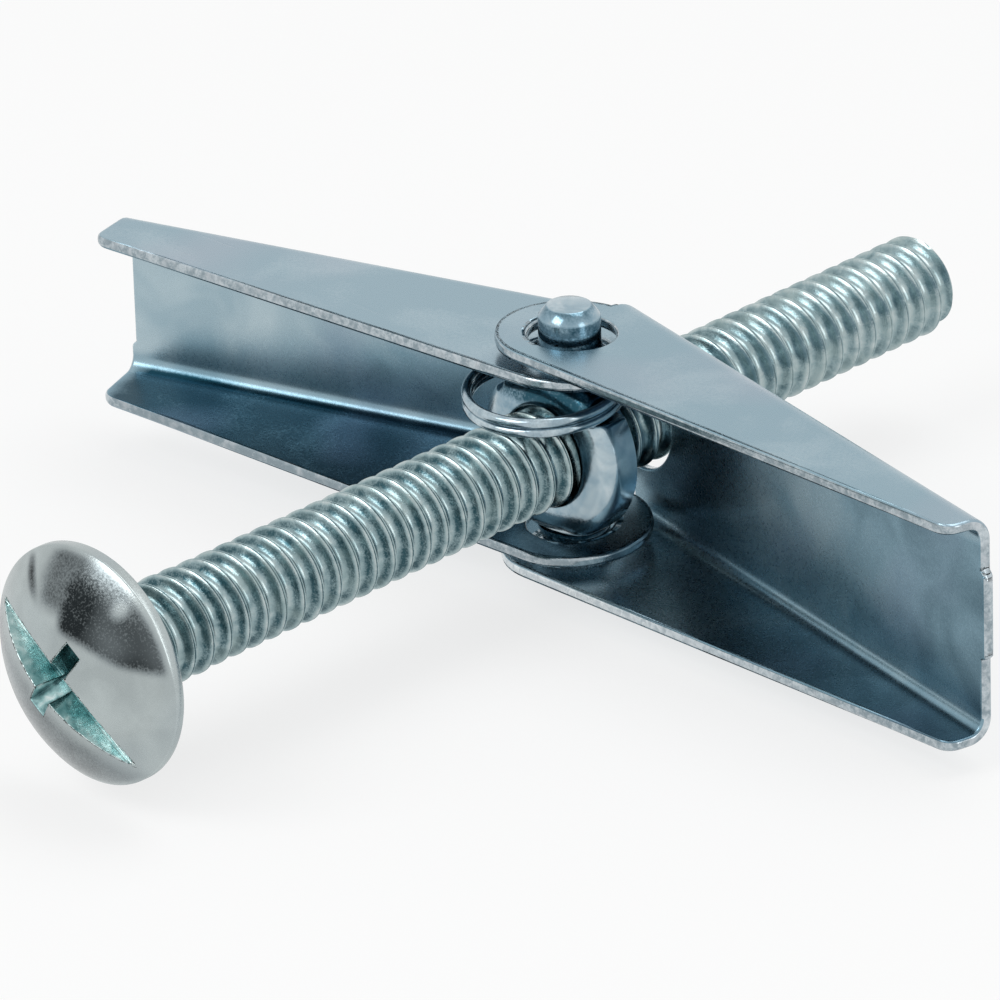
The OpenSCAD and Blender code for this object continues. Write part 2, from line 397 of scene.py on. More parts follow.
@dataclass(frozen=True)
class ZincPlate:
    """Bright electroplated zinc under a clear blue chromate film, over steel.

    The film tints the metal blue-grey and darkens where the mesh's own film attribute says so,
    which is painted shade and painted reflection, and lies over a fine grain that breaks up the
    reflections.

    Attributes:
        name: the material's name.
        light: colour of the thin film.
        middle: colour of the film half as deep as the thickest.
        dark: colour of the thickest film, and of the darkest painted shade.
        tint: faint interference colour.
        cloud_mm: size of the film's light and dark areas.
        clouds: how much those areas differ, 0 to 1.
        mottle: how much the grain breaks up the film's edges, 0 to 1.
        grain_mm: size of the plating's grain, drawn as coarse as it needs to show.
        grain: how much the grain changes the brightness, 0 to 1.
        rough: least and greatest roughness.
        bump_mm: height of the grain.
        scratch: strength of the handling marks, 0 to 1.
    """

    name: str
    light: str
    middle: str
    dark: str
    tint: str
    cloud_mm: float = 6.0
    clouds: float = 0.2
    mottle: float = 0.3
    grain_mm: float = 0.12
    grain: float = 0.1
    rough: Plane = (0.2, 0.32)
    bump_mm: float = 0.003
    scratch: float = 0.0

    def make(self) -> bpy.types.Material:
        """Builds the material.

        Returns:
            The new material.
        """
        material = bpy.data.materials.new(self.name)
        tree = fresh_tree(material)
        place = add_node(tree, "ShaderNodeTexCoord", out="Object")
        mm = add_node(tree, "ShaderNodeMapping", {"Vector": place, "Scale": (1 / MM,) * 3})
        fine = {"Vector": mm, "Scale": 1 / self.grain_mm, "Detail": 3.0, "Roughness": 0.6}
        grain = add_node(tree, "ShaderNodeTexNoise", fine)
        base = self.film(tree, mm, grain)
        spread = (*NOISE_SPAN, 1 - self.grain, 1 + self.grain)
        shade = add_node(tree, "ShaderNodeMapRange", (grain, *spread))
        scaled = {0: base, "Scale": shade}
        base = add_node(tree, "ShaderNodeVectorMath", scaled, operation="SCALE")
        rough = add_node(tree, "ShaderNodeMapRange", (grain, *NOISE_SPAN, *self.rough))
        relief = {"Height": self.relief(tree, mm, grain), "Distance": MM, "Strength": 1.0}
        bump = add_node(tree, "ShaderNodeBump", relief)
        metal = {"Base Color": base, "Metallic": 1.0, "Roughness": rough, "Normal": bump}
        shader = add_node(tree, "ShaderNodeBsdfPrincipled", metal)
        add_node(tree, "ShaderNodeOutputMaterial", {"Surface": shader})
        return material

    def film(
        self, tree: bpy.types.NodeTree, mm: bpy.types.NodeSocket, grain: bpy.types.NodeSocket
    ) -> bpy.types.NodeSocket:
        """Mixes the film's colours by its depth, soft clouds and grain, then adds its tint.

        The depth is the mesh's film attribute, which holds painted shade and reflection.

        Args:
            tree: the material's nodes.
            mm: the place on the object, in millimetres.
            grain: the grain's noise.

        Returns:
            The colour.
        """
        soft = {"Vector": mm, "Scale": 1 / self.cloud_mm, "Detail": 2.0, "Distortion": 0.6}
        cloud = add_node(tree, "ShaderNodeTexNoise", soft)
        share = add_node(tree, "ShaderNodeMapRange", (cloud, *CLOUD_SPAN, 0.0, self.clouds))
        # The mesh's film attribute: painted shade and painted reflection.
        kept = {"attribute_type": "GEOMETRY", "attribute_name": "film"}
        depth = add_node(tree, "ShaderNodeAttribute", out="Fac", **kept)
        spread = (*CLOUD_SPAN, -self.mottle, self.mottle)
        speck = add_node(tree, "ShaderNodeMapRange", (grain, *spread))
        terms = (depth, speck, depth)
        patchy = add_node(tree, "ShaderNodeMath", terms, operation="MULTIPLY_ADD")
        terms = (share, patchy)
        share = add_node(tree, "ShaderNodeMath", terms, operation="ADD", use_clamp=True)
        film = colour(self.light)
        for start, code in ((0.0, self.middle), (0.5, self.dark)):
            part = add_node(tree, "ShaderNodeMapRange", (share, start, start + 0.5, 0.0, 1.0))
            mix = {0: part, 6: film, 7: colour(code)}
            film = add_node(tree, "ShaderNodeMix", mix, out=2, data_type="RGBA")
        broad = {"Vector": mm, "Scale": 0.6 / self.cloud_mm, "Detail": 1.0, "W": 3.0}
        drift = add_node(tree, "ShaderNodeTexNoise", broad, noise_dimensions="4D")
        hint = add_node(tree, "ShaderNodeMapRange", (drift, *TINT_SPAN, 0.0, 0.5))
        mix = {0: hint, 6: film, 7: colour(self.tint)}
        return add_node(tree, "ShaderNodeMix", mix, out=2, data_type="RGBA")

    def relief(
        self, tree: bpy.types.NodeTree, mm: bpy.types.NodeSocket, grain: bpy.types.NodeSocket
    ) -> bpy.types.NodeSocket:
        """Height of the surface, in millimetres: grain, and fine crossing scratches.

        Args:
            tree: the material's nodes.
            mm: the place on the object, in millimetres.
            grain: the grain's noise.

        Returns:
            The height.
        """
        terms = (grain, self.bump_mm)
        height = add_node(tree, "ShaderNodeMath", terms, operation="MULTIPLY")
        if self.scratch <= 0:
            return height
        drawn_out = {"Vector": mm, "Rotation": (0.4, 0.2, 0.9), "Scale": (0.18, 3.2, 3.2)}
        stretched = add_node(tree, "ShaderNodeMapping", drawn_out)
        streaks = {"Vector": stretched, "Scale": 1.0, "Detail": 2.0}
        mark = add_node(tree, "ShaderNodeTexNoise", streaks)
        cut = (mark, *SCRATCH_SPAN, 0.0, -SCRATCH_MM * self.scratch)
        depth = add_node(tree, "ShaderNodeMapRange", cut)
        return add_node(tree, "ShaderNodeMath", (height, depth), operation="ADD")


# Cold-rolled steel strip, barrel plated: smooth, pale blue-grey flats with fine marks,
# a little darker where the film attribute paints shade.
SHEET_OUTSIDE = ZincPlate(
    "zinc_plated_strip",
    "#abbdc4",
    "#9bb1bb",
    "#8ba5b1",
    "#a9acb8",
    cloud_mm=5.0,
    clouds=0.8,
    grain=0.012,
    bump_mm=0.001,
    scratch=1.0,
)
# The same strip inside its channel: a darker, bluer copy whose dark colours paint the shade
# and reflections inside the channel.
SHEET_CHANNEL_SHADE = ZincPlate(
    "zinc_plated_channel_shade",
    "#b1c3ca",
    "#7f9dab",
    "#1d4352",
    "#7f8ea3",
    cloud_mm=3.5,
    clouds=0.24,
    mottle=0.05,
    grain_mm=0.14,
    grain=0.03,
    rough=(0.24, 0.33),
    bump_mm=0.0012,
)
# The strip's edge as the press sheared and rolled it, with a fine grain; its bright colours are
# partly a painted highlight along the rounded edges.
SHEARED_EDGE_SHEEN = ZincPlate(
    "zinc_plated_sheared_edge_sheen",
    "#e2e8ea",
    "#bfc9ce",
    "#8c9aa1",
    "#ccd1d5",
    cloud_mm=0.3,
    clouds=0.45,
    grain_mm=0.08,
    rough=(0.12, 0.24),
)
# Rolled thread: burnished crests; the darker film in the crests' seam and on the flanks is
# painted shade and reflection.
ROLLED_THREAD = ZincPlate(
    "zinc_plated_rolled_thread",
    "#bdc9c9",
    "#8aa0a4",
    "#34525a",
    "#97aaa9",
    cloud_mm=0.7,
    clouds=0.35,
    grain_mm=0.08,
    rough=(0.12, 0.28),
    bump_mm=0.007,
)
# Cold-formed head: smooth and tumbled; its dark speckled patch on the dome is painted reflection.
FORMED_HEAD = ZincPlate(
    "zinc_plated_formed_head",
    "#b5bebe",
    "#7c8486",
    "#24292b",
    "#a2adb1",
    cloud_mm=2.2,
    clouds=0.16,
    mottle=0.26,
    grain_mm=0.09,
    grain=0.04,
    rough=(0.18, 0.3),
    bump_mm=0.004,
)
# The driver recess: punched walls with a blue-green film, darker with depth as painted shade.
PUNCHED_RECESS = ZincPlate(
    "zinc_plated_punched_recess",
    "#dbe6e5",
    "#8fb2b3",
    "#32575c",
    "#a9c4c4",
    cloud_mm=0.45,
    clouds=0.4,
    mottle=0.2,
    rough=(0.1, 0.22),
)
# Turned nut, with the strongest blue film, darkened in places as painted shade and reflection.
TURNED_NUT = ZincPlate(
    "zinc_plated_turned_nut",
    "#c0cdd2",
    "#849fad",
    "#2a5160",
    "#90a7b4",
    cloud_mm=1.2,
    clouds=0.3,
    grain_mm=0.1,
    grain=0.06,
    rough=(0.1, 0.24),
)
# Drawn spring wire: smooth and bright.
SPRING_WIRE = ZincPlate(
    "zinc_plated_spring_wire",
    "#bccad0",
    "#93a7b1",
    "#5b7583",
    "#a5b2be",
    cloud_mm=0.8,
    clouds=0.5,
    rough=(0.1, 0.2),
)


def dress(piece: bpy.types.Object, *finishes: ZincPlate) -> None:
    """Gives a piece its finishes, one for each material slot in order.

    Args:
        piece: the object.
        *finishes: the finishes.
    """
    for finish in finishes:
        ready = bpy.data.materials.get(finish.name)
        piece.data.materials.append(ready or finish.make())


# ---------------------------------------------------------------- bolt


@dataclass(frozen=True)
class Recess:
    """A slot that is punched into the head's dome.

    Attributes:
        half: half its length at the floor.
        floor: the floor's two sides, measured across the slot.
        deep: depth of the floor below the top of the dome.
        draft: how much each side leans outwards, as width over height.
        turn: its turn from the driver recess's, in degrees.
        lead: how much the ends lean outwards, as width over height.
        blunt: how much the ends narrow, 0 to 1.
    """

    half: float
    floor: Plane
    deep: float
    draft: Plane
    turn: float = 0.0
    lead: float = 0.0
    blunt: float = 0.0


@dataclass
class Bolt:
    """The machine screw: a rolled thread up to the head, and a domed head with its recess.

    Attributes:
        length: from the bearing face to the tip.
        crest_r, root_r: radii of the thread's crests and of its root.
        neck_extra, neck_length: how much wider the crests are near the head, and how far.
        pitch: from crest to crest.
        first_crest: a crest's turn from Z, in degrees, and its place along the axis.
        sunk: how far the thread goes on into the head.
        tip_chamfer: how much the tip's cone takes off the crests' radius.
        steps: points round the thread.
        fading: where along the axis the thread's film starts and ends to grow lighter.
        head_r, rim_h, dome_h: radius of the head, and heights of its rim and of its dome.
        recess_turn: turn of the driver recess about the axis, in degrees.
        recess_over: how far the recess's cutters stand out over the dome.
        slot, cross: the recess's long slot, and the short one across it.
        painted_band_low, painted_band_high: limits in z of the dark band of painted reflection on
            the dome,
        over x.
        painted_streak_at, painted_highlight_at: x and z of the painted dark streak and of the
            painted light spot
        on the dome.
    """

    length: float = 50.0
    crest_r: float = 2.23
    root_r: float = 1.73
    neck_extra: float = 0.05
    neck_length: float = 5.0
    pitch: float = 25.4 / 24
    first_crest: Plane = (56.2, 2.28)
    sunk: float = 0.25
    tip_chamfer: float = 0.28
    steps: int = 64
    fading: Plane = (26.0, 44.0)
    head_r: float = 5.25
    rim_h: float = 0.55
    dome_h: float = 2.1
    recess_turn: float = 35.5
    recess_over: float = 0.8
    slot: Recess = Recess(4.7, (-0.95, -0.75), 1.55, (0.04, 1.0), blunt=1.0)
    cross: Recess = Recess(0.95, (-0.34, 0.34), 1.9, (0.06, 0.06), turn=90.0, lead=0.7)
    painted_band_low: Curve = ((0, 2.3), (1.5, 2.0), (3.25, 1.4), (5, 1.15))
    painted_band_high: Curve = ((0, 4.3), (1.6, 3.9), (2.7, 3.3), (4.6, 3.1))
    painted_streak_at: Plane = (-2.25, 3.7)
    painted_highlight_at: Plane = (2.8, 3.6)

    @property
    def ball_r(self) -> float:
        """Radius of the dome's circle through the rim and the top: (R * R + h * h) / (2 h)."""
        return (self.head_r**2 + self.dome_h**2) / (2 * self.dome_h)

    def thread_profile(self) -> np.ndarray:
        """One pitch of the thread: a double crest with its seam, a flank, a wide root, a flank.

        Returns:
            (points, 3): distance along the axis from the crest's middle, radius below the
            crest's, and darkness of the film: painted shade in the crest's seam, painted
            reflection on the flanks.
        """
        deep = self.crest_r - self.root_r
        crest = [(-0.1, 0.045, 0.1), (-0.055, 0.0, 0.0), (-0.01, 0.033, 0.9), (0.0, 0.04, 0.9)]
        crest += [(0.055, 0.0, 0.0), (0.1, 0.045, 0.1)]
        flank = [(0.16, 0.17), (0.25, 0.33), (0.35, 0.43), (0.45, deep - 0.015)]
        fall = [(*point, film) for point, film in zip(flank, (0.5, 0.5, 0.4, 0.3))]
        back = zip(reversed(flank), (0.2, 0.35, 0.75, 0.6))
        rise = [(self.pitch - x, drop, film) for (x, drop), film in back]
        return np.array(crest + fall + [(self.pitch / 2, deep, 0.22)] + rise)

    def thread(self) -> Patch:
        """The helical grid: along a row it goes over one pitch, from row to row round the axis.

        The point at turn a from the start, profile distance x and drop d is at
        (r sin b, y, r cos b), with b = a + the first crest's turn, y = start + pitch * a / 360 + x
        and r = crest radius - d, cut by the tip's 45 degree cone.

        Returns:
            The patch, longer than the bolt at both ends.
        """
        profile = self.thread_profile()
        profile = np.vstack([profile, profile[0] + (self.pitch, 0, 0)])
        turns = math.ceil((self.length + self.sunk) / self.pitch) + 3
        angle = np.arange(turns * self.steps + 1)[:, None] * 2 * math.pi / self.steps
        phase = math.radians(self.first_crest[0])
        before = math.ceil((self.first_crest[1] + self.sunk) / self.pitch) + 2
        start = self.first_crest[1] - self.pitch * before
        along = start + self.pitch * angle / (2 * math.pi) + profile[:, 0]
        neck = smooth_step(-along, -self.neck_length - 0.6, -self.neck_length + 0.4)
        full = self.crest_r + self.neck_extra * neck
        cone = self.crest_r - self.tip_chamfer + self.length - along
        radius = np.minimum(full - profile[:, 1], np.maximum(cone, 0.3))
        angle = angle + phase
        # Painted shade and reflection from the profile, lighter towards the tip.
        film = profile[:, 2] * (1 - 0.4 * smooth_step(along, *self.fading))
        points = np.stack([radius * np.sin(angle), along, radius * np.cos(angle)], -1)
        return Patch(points, film=film)

    def cut_ends(self, piece: bpy.types.Object) -> None:
        """Cuts the thread off square at both ends and closes it.

        Args:
            piece: the thread's object.
        """
        work = bmesh.new()
        work.from_mesh(piece.data)
        for place, way in ((self.length * MM, 1), (-self.sunk * MM, -1)):
            bmesh.ops.bisect_plane(
                work,
                geom=work.verts[:] + work.edges[:] + work.faces[:],
                dist=1e-8,
                plane_co=(0, place, 0),
                plane_no=(0, way, 0),
                clear_outer=True,
            )
            rim = [e for e in work.edges if e.is_boundary]
            rim = [e for e in rim if all(abs(v.co.y - place) < 1e-7 for v in e.verts)]
            bmesh.ops.contextual_create(work, geom=rim)
        bmesh.ops.recalc_face_normals(work, faces=work.faces)
        work.to_mesh(piece.data)
        work.free()
        piece.data.set_sharp_from_angle(angle=math.radians(38))

    def shank(self) -> bpy.types.Object:
        """Builds the threaded shank and dresses it.

        Returns:
            The shank.
        """
        piece = Piece("bolt_shank", [self.thread()]).build()
        self.cut_ends(piece)
        dress(piece, ROLLED_THREAD)
        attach(piece, "bolt")
        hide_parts("bolt")
        return piece

    def dome(self) -> Patch:
        """The head without its recess: a flat bearing face, an upright rim and a spherical dome.

        Returns:
            The revolved patch.
        """
        ball = self.ball_r
        top = self.rim_h + self.dome_h
        reach = math.degrees(math.asin(self.head_r / ball))
        swing = np.radians(np.linspace(reach, 0.0, 40))
        dome = np.stack([ball * np.sin(swing), ball - top - ball * np.cos(swing)], -1)
        face = np.array([(0.0, 0.0), (2.6, 0.0), (self.head_r - 0.12, 0.0)])
        rim = np.array([(self.head_r - 0.03, -0.03), (self.head_r, -0.12)])
        crease = np.array([(self.head_r, -self.rim_h + 0.05)])
        profile = np.vstack([face, rim, crease, dome])
        return Patch(revolved(profile, 200), wrap=True)

    def film(self, points: np.ndarray) -> np.ndarray:
        """Darkness of the head's film, all painted reflection and shade: a dark band, a grey area
        round it and a streak beside it.

        With x and z across the dome, the band lies between painted_band_low and painted_band_high,
        the grey area above painted_band_low, and the streak round painted_streak_at, all painted
        reflection. One side of the slot is a little darker as painted shade, the spot at
        painted_highlight_at is a lighter painted highlight, and the film fades at the rim for a
        painted highlight along it. In the recess the film grows with the depth as painted shade.

        Args:
            points: (points, 3), in millimetres.

        Returns:
            (points,) from 0 to 1.
        """
        x, y, z = points.T
        low = along_curve(x, self.painted_band_low)
        high = along_curve(x, self.painted_band_high)
        # Painted reflection: the dark band, the grey area above it and the streak.
        band = smooth_step(z - low, -0.2, 0.4) * smooth_step(high - z, -1.0, 0.5)
        band = band * smooth_step(x, -0.1, 0.6)
        grey = 0.62 * smooth_step(z - low, 0.2, 1.2) * smooth_step(x, -1.9, -0.7)
        beside, above = x - self.painted_streak_at[0], z - self.painted_streak_at[1]
        streak = np.hypot(beside + 0.9 * above, 0.55 * above)
        streak = 0.85 * smooth_step(-streak, -0.6, 0.0)
        # Painted shade on one side of the slot.
        side = math.radians(self.recess_turn)
        across = x * math.sin(side) + z * math.cos(side)
        shade = 0.42 * smooth_step(-across, 0.8, 2.2)
        dome = 1 - (1 - band) * (1 - grey) * (1 - streak) * (1 - shade)
        # A painted light spot, and a painted highlight along the rim.
        away = np.hypot(x - self.painted_highlight_at[0], z - self.painted_highlight_at[1])
        dome = dome * (1 - 0.75 * smooth_step(-away, -0.6, -0.1))
        rho = np.hypot(x, z)
        dome = dome * (1 - 0.8 * smooth_step(rho, self.head_r - 0.3, self.head_r - 0.08))
        # In the recess, painted shade that deepens with the depth.
        ball = self.ball_r
        crown = self.rim_h + self.dome_h - ball + np.sqrt(np.maximum(ball**2 - rho**2, 0))
        sunk = crown + y
        film = np.where(sunk > 0.06, 0.7 * smooth_step(sunk, 0.9, 1.9), dome)
        return film * smooth_step(-y, self.rim_h, self.rim_h + 0.1)

    def cutter(self, recess: Recess) -> Patch:
        """A slot's cutter: a bar whose sides and ends lean outwards towards the top.

        Along its length, at share s from -1 to 1, the floor's width is
        (1 - blunt * s**6) ** 0.5 of its full one, so a blunt slot's ends narrow.

        Args:
            recess: the slot that it cuts.

        Returns:
            The closed patch.
        """
        share = np.sin(np.linspace(-0.5, 0.5, 33) * math.pi)
        top = self.rim_h + self.dome_h
        rise = recess.deep + self.recess_over
        slim = np.sqrt(np.maximum(1 - recess.blunt * np.abs(share) ** 6, 0.02))[:, None]
        low, high = recess.floor
        level = np.array([-1.0, 1.0, 1.0, -1.0])
        lean = rise * np.array([0.0, 0.0, recess.draft[1], recess.draft[0]])
        upper = np.array([0.0, 0.0, 1.0, 1.0])
        across = (low + high) / 2 + level * (slim * (high - low) / 2 + lean)
        along = share[:, None] * (recess.half + upper * recess.lead * rise)
        height = -top + recess.deep - upper * rise + 0 * along
        angle = math.radians(self.recess_turn + recess.turn)
        spin = np.array([[math.cos(angle), -math.sin(angle)], [math.sin(angle), math.cos(angle)]])
        flat = np.stack([along, across], -1) @ spin
        ring = np.stack([flat[..., 0], height, flat[..., 1]], -1)
        return Patch(capped(ring), wrap=True, slot=HeadSkin.PUNCHED.value)

    def head(self) -> bpy.types.Object:
        """Builds the head, sinks its slot and cross recess into it, and dresses it.

        Returns:
            The head.
        """
        piece = Piece("bolt_head", [self.dome()], crease=30).build()
        dress(piece, FORMED_HEAD, PUNCHED_RECESS)
        for cut in (self.cutter(self.slot), self.cutter(self.cross)):
            tool = Piece("recess_cutter", [cut]).build()
            dress(tool, FORMED_HEAD, PUNCHED_RECESS)
            take = piece.modifiers.new("recess", "BOOLEAN")
            take.operation = "DIFFERENCE"
            take.solver = "EXACT"
            take.object = tool
            graph = bpy.context.evaluated_depsgraph_get()
            result = bpy.data.meshes.new_from_object(piece.evaluated_get(graph))
            piece.modifiers.clear()
            piece.data = result
            bpy.data.objects.remove(tool)
        mesh = piece.data
        mesh.name = piece.name
        shade_smooth(mesh, 25)
        places = np.empty(len(mesh.vertices) * 3, np.float32)
        mesh.vertices.foreach_get("co", places)
        film = self.film(places.reshape(-1, 3) / MM).astype(np.float32)
        mesh.attributes["film"].data.foreach_set("value", film)
        bevel(piece, width=0.05, segments=2, angle=32)
        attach(piece, "bolt")
        return piece


# ---------------------------------------------------------------- nut


@dataclass
class TrunnionNut:
    """The nut: a round body cut flat above, a boss behind it, and two hinge pins.

    Attributes:
        hinge_y: place of the hinge axis along the bolt.
        bore_r, face_r, body_r: radii of the bore, of the edge round it, and of the body.
        front: the face's y from the hinge axis.
        swell_h: how far the front swells between the face and the body.
        boss_r, boss_h: radius and height of the boss.
        side_z, shoulder_x, shoulder_z: the upper flat's distance from the axis, and the
            shoulder's half width and distance.
        bridge: least thickness of the wall over the bore.
        soft_corner, soft_side: how softly the shoulder and the flat sides are rounded.
        pin_r, pin_root, pin_top: the pins' radius, and the z at which they start and end.
        collar_r, collar_z: radius of a pin's collar, and the z at which it starts.
    """

    hinge_y: float
    bore_r: float = 2.28
    face_r: float = 2.42
    body_r: float = 3.93
    front: float = -1.95
    swell_h: float = 0.95
    boss_r: float = 2.9
    boss_h: float = 0.8
    side_z: float = 2.2
    shoulder_x: float = 2.5
    shoulder_z: float = 3.5
    bridge: float = 0.1
    soft_corner: float = 0.15
    soft_side: float = 0.05
    pin_r: float = 1.35
    pin_root: float = 2.6
    pin_top: float = 6.45
    collar_r: float = 1.6
    collar_z: float = 3.7

    def outline(self, angle: np.ndarray, shoulders: bool) -> np.ndarray:
        """Distance of the flat sides from the axis at angles from the Z axis.

        The sides are side_z / cos a away above and shoulder_z / cos a below. The upper shoulder,
        where it is there, is the softened smaller of shoulder_x / sin a and shoulder_z / cos a,
        and the softened larger of the two counts: k * log(exp(p / k) + exp(q / k)). A bridge of
        wall is always left over the bore.

        Args:
            angle: the angles, in radians.
            shoulders: whether the upper shoulder is there.

        Returns:
            The distance at each angle.
        """
        cos, sin = np.maximum(np.abs([np.cos(angle), np.sin(angle)]), 1e-3)
        reach = np.where(np.cos(angle) > 0, self.side_z, self.shoulder_z) / cos
        if shoulders:
            soft = self.soft_corner
            ends = [self.shoulder_x / sin / soft, self.shoulder_z / cos / soft]
            shoulder = -np.logaddexp(-ends[0], -ends[1])
            reach = soft * np.logaddexp(reach / soft, shoulder)
        return np.maximum(reach, self.bore_r + self.bridge)

    def body(self) -> Patch:
        """The body, the boss and the bore: rings of one turned profile, cut by the flat sides.

        The front swells from the bore's edge to the full radius as a quarter of an ellipse.
        A ring's radius is the softened smaller of the profile's radius a and the outline's b:
        -k * log(exp(-a / k) + exp(-b / k)).

        Returns:
            The patch, a closed ring.
        """
        corner = math.degrees(math.atan(self.shoulder_x / self.shoulder_z))
        marks = [corner, 45.0, 90 - corner]
        ways = ((0, 1), (180, 1), (180, -1), (360, -1))
        corners = [quarter + way * mark for mark in marks for quarter, way in ways]
        turn = np.radians(np.unique(np.concatenate([np.arange(0, 360, 1.5), corners])))
        swing = np.radians(np.linspace(0, 90, 15))
        wide, high = self.body_r - self.face_r, self.swell_h
        swell = np.stack([np.sin(swing) * wide, high - high * np.cos(swing)], -1)
        swell += (self.face_r, self.front)
        body = np.array([(self.body_r + 0.01, -0.6), (self.body_r - 0.02, -0.08)])
        # Last of each part: painted shade and reflection, darkest in the bore and behind the body,
        # lightest near the swell's rim.
        parts = [
            ([(self.bore_r, self.boss_h - 0.06), (self.bore_r, self.front + 0.1)], True, 0.8),
            ([(self.bore_r + 0.05, self.front + 0.03)], True, 0.32),
            (swell[:3], True, 0.2),
            (swell[3:6], True, 0.12),
            (swell[6:], True, 0.04),
            (body, True, 0.08),
            ([(self.body_r - 0.1, 0.0), (self.boss_r + 0.02, 0.0)], True, 0.35),
            ([(self.boss_r, 0.02), (self.boss_r, self.boss_h - 0.08)], False, 0.4),
            ([(self.boss_r - 0.08, self.boss_h), (self.bore_r + 0.05, self.boss_h)], False, 0.4),
            ([(self.bore_r, self.boss_h - 0.06)], True, 0.8),
        ]
        soft = self.soft_side
        rings, films = [], []
        for rows, shoulders, film in parts:
            rows = np.array(rows)
            limit = self.outline(turn, shoulders)
            radius = -soft * np.logaddexp(-rows[:, :1] / soft, -limit / soft)
            height = self.hinge_y + rows[:, 1:] + 0 * radius
            rings.append(np.stack([radius * np.sin(turn), height, radius * np.cos(turn)], -1))
            films.append(np.full((len(rows), 1), film))
        points, film = np.concatenate(rings), np.concatenate(films)
        # The flat top, under the wing's flange, is darkened as painted shade.
        upper = smooth_step(points[..., 2], self.side_z - 0.3, self.side_z + 0.3)
        return Patch(points, wrap=True, film=np.maximum(film, 0.8 * upper))

    def pin(self, way: int) -> Patch:
        """A hinge pin: a turned profile about the Z axis, with a sloping shoulder at its end.

        Args:
            way: 1 for the upper pin, -1 for the lower.

        Returns:
            The closed patch.
        """
        top, radius = self.pin_top, self.pin_r
        profile = np.array(
            [
                (0.0, self.pin_root),
                (radius, self.pin_root),
                (radius, self.collar_z),
                (self.collar_r, self.collar_z),
                (self.collar_r - 0.03, self.collar_z + 0.2),
                (radius + 0.06, self.collar_z + 0.65),
                (radius, top - 1.6),
                (radius, top - 0.56),
                (radius - 0.03, top - 0.46),
                (radius - 0.36, top - 0.04),
                (radius - 0.44, top),
                (0.4, top),
                (0.0, top),
            ]
        )
        # Painted shade low on the pin, painted reflection on its side and chamfer, a lighter top.
        film = np.array([0.8] * 4 + [0.7, 0.5, 0.75, 0.55, 0.2, 0.5, 0.0, 0.1, 0.1])[:, None]
        points = revolved(profile, 72)[..., [0, 2, 1]] * (1, 1, way) + (0, self.hinge_y, 0)
        return Patch(points, wrap=True, film=film)

    def build(self) -> bpy.types.Object:
        """Builds the nut and dresses it.

        Returns:
            The nut.
        """
        patches = [self.body(), self.pin(1), self.pin(-1)]
        piece = Piece("trunnion_nut", patches, crease=32).build()
        dress(piece, TURNED_NUT)
        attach(piece, "nut")
        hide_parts("nut")
        return piece


# ---------------------------------------------------------------- wings


